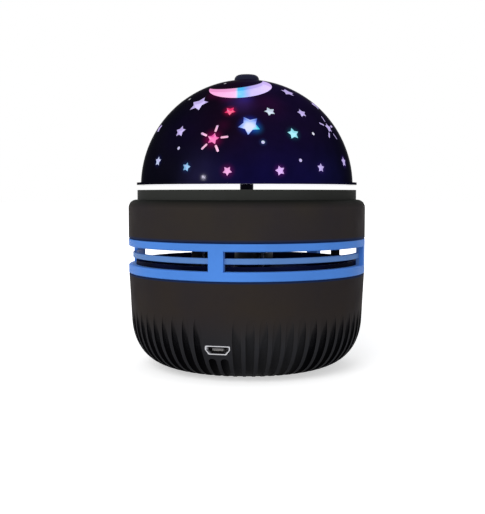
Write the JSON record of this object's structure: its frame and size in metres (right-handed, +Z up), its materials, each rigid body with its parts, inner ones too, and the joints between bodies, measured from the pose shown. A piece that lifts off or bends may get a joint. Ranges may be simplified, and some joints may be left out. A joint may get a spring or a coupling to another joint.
{
  "type": "star projector night light",
  "caption": "Small round star projector: fluted base, blue vent ring, and a pierced dome on a motor-driven stem.",
  "frame": {"origin": "on the lamp axis, at the surface that the grip pad stands on", "axes": "+Z up along the lamp axis, -Y towards the USB port, +X to the port's right"},
  "size_m": [0.09, 0.09, 0.1105],
  "materials": {
    "black_shell": "fine moulded texture, charcoal black",
    "blue_ring": "blue moulded plastic",
    "dome_black": "glossy near-black",
    "frosted_lens": "frosted light-spreading plastic",
    "pad_rubber": "soft non-slip",
    "screw_steel": "zinc plated",
    "stem_black": "blackened steel",
    "board_green": "solder mask on glass laminate",
    "board_white": "white solder mask",
    "socket_metal": "tinned steel",
    "contact_gold": "gold flashed",
    "component_black": "moulded component body",
    "capacitor_sleeve": "shrink sleeve",
    "header_white": "nylon",
    "motor_black": "black can",
    "gear_white": "acetal",
    "pinion_brass": "turned",
    "lamp_white": "white body with a yellow phosphor lens",
    "lead_sleeve": "soft insulation"
  },
  "bodies": {
    "housing": {"grip_pad": "pad_rubber", "base_shell": "black_shell", "base_screws": "screw_steel", "base_lid": "black_shell", "main_board": "board_green", "board_screws": "screw_steel", "usb_socket": "socket_metal", "usb_tongue": "component_black", "usb_contacts": "contact_gold", "driver_chip": "component_black", "filter_capacitor": "capacitor_sleeve", "lead_header": "header_white", "vent_ring": "blue_ring", "spacer_posts": "black_shell", "frame_screws": "screw_steel", "upper_housing": "black_shell", "motor_body": "motor_black", "motor_screws": "screw_steel", "gear_pins": "screw_steel", "gear_plate": "gear_white", "plate_screws": "screw_steel", "lower_bush": "header_white", "upper_bush": "header_white", "lamp_deck": "black_shell", "light_window": "frosted_lens", "deck_screws": "screw_steel", "lamp_board": "board_white", "lamp_screws": "screw_steel", "lamps": "lamp_white", "motor_leads": "lead_sleeve", "lamp_leads": "lead_sleeve"},
    "dome": {"star_dome": "dome_black", "dome_lens": "frosted_lens", "stem": "stem_black", "cap_knob": "dome_black", "output_gear": "gear_white"},
    "second_compound": {"second_gear": "gear_white"},
    "first_compound": {"first_gear": "gear_white"},
    "motor_rotor": {"motor_shaft": "screw_steel", "drive_pinion": "pinion_brass"}
  },
  "joints": [
    {"name": "dome_spin", "type": "hinge", "parent": "housing", "child": "dome", "pos_m": [0, 0, 0.051], "axis": [0, 0, 1], "continuous": true},
    {"name": "second_gear_spin", "type": "hinge", "parent": "housing", "child": "second_compound", "pos_m": [0.01247, -0.0072, 0.054], "axis": [0, 0, 1], "continuous": true},
    {"name": "first_gear_spin", "type": "hinge", "parent": "housing", "child": "first_compound", "pos_m": [0.01356, 0.00716, 0.052], "axis": [0, 0, 1], "continuous": true},
    {"name": "motor_spin", "type": "hinge", "parent": "housing", "child": "motor_rotor", "pos_m": [0, 0.012, 0.052], "axis": [0, 0, 1], "continuous": true}
  ],
  "couplings": [
    {"joint": "second_gear_spin", "follows": "dome_spin", "ratio": -3},
    {"joint": "first_gear_spin", "follows": "dome_spin", "ratio": 9},
    {"joint": "motor_spin", "follows": "dome_spin", "ratio": -27}
  ]
}
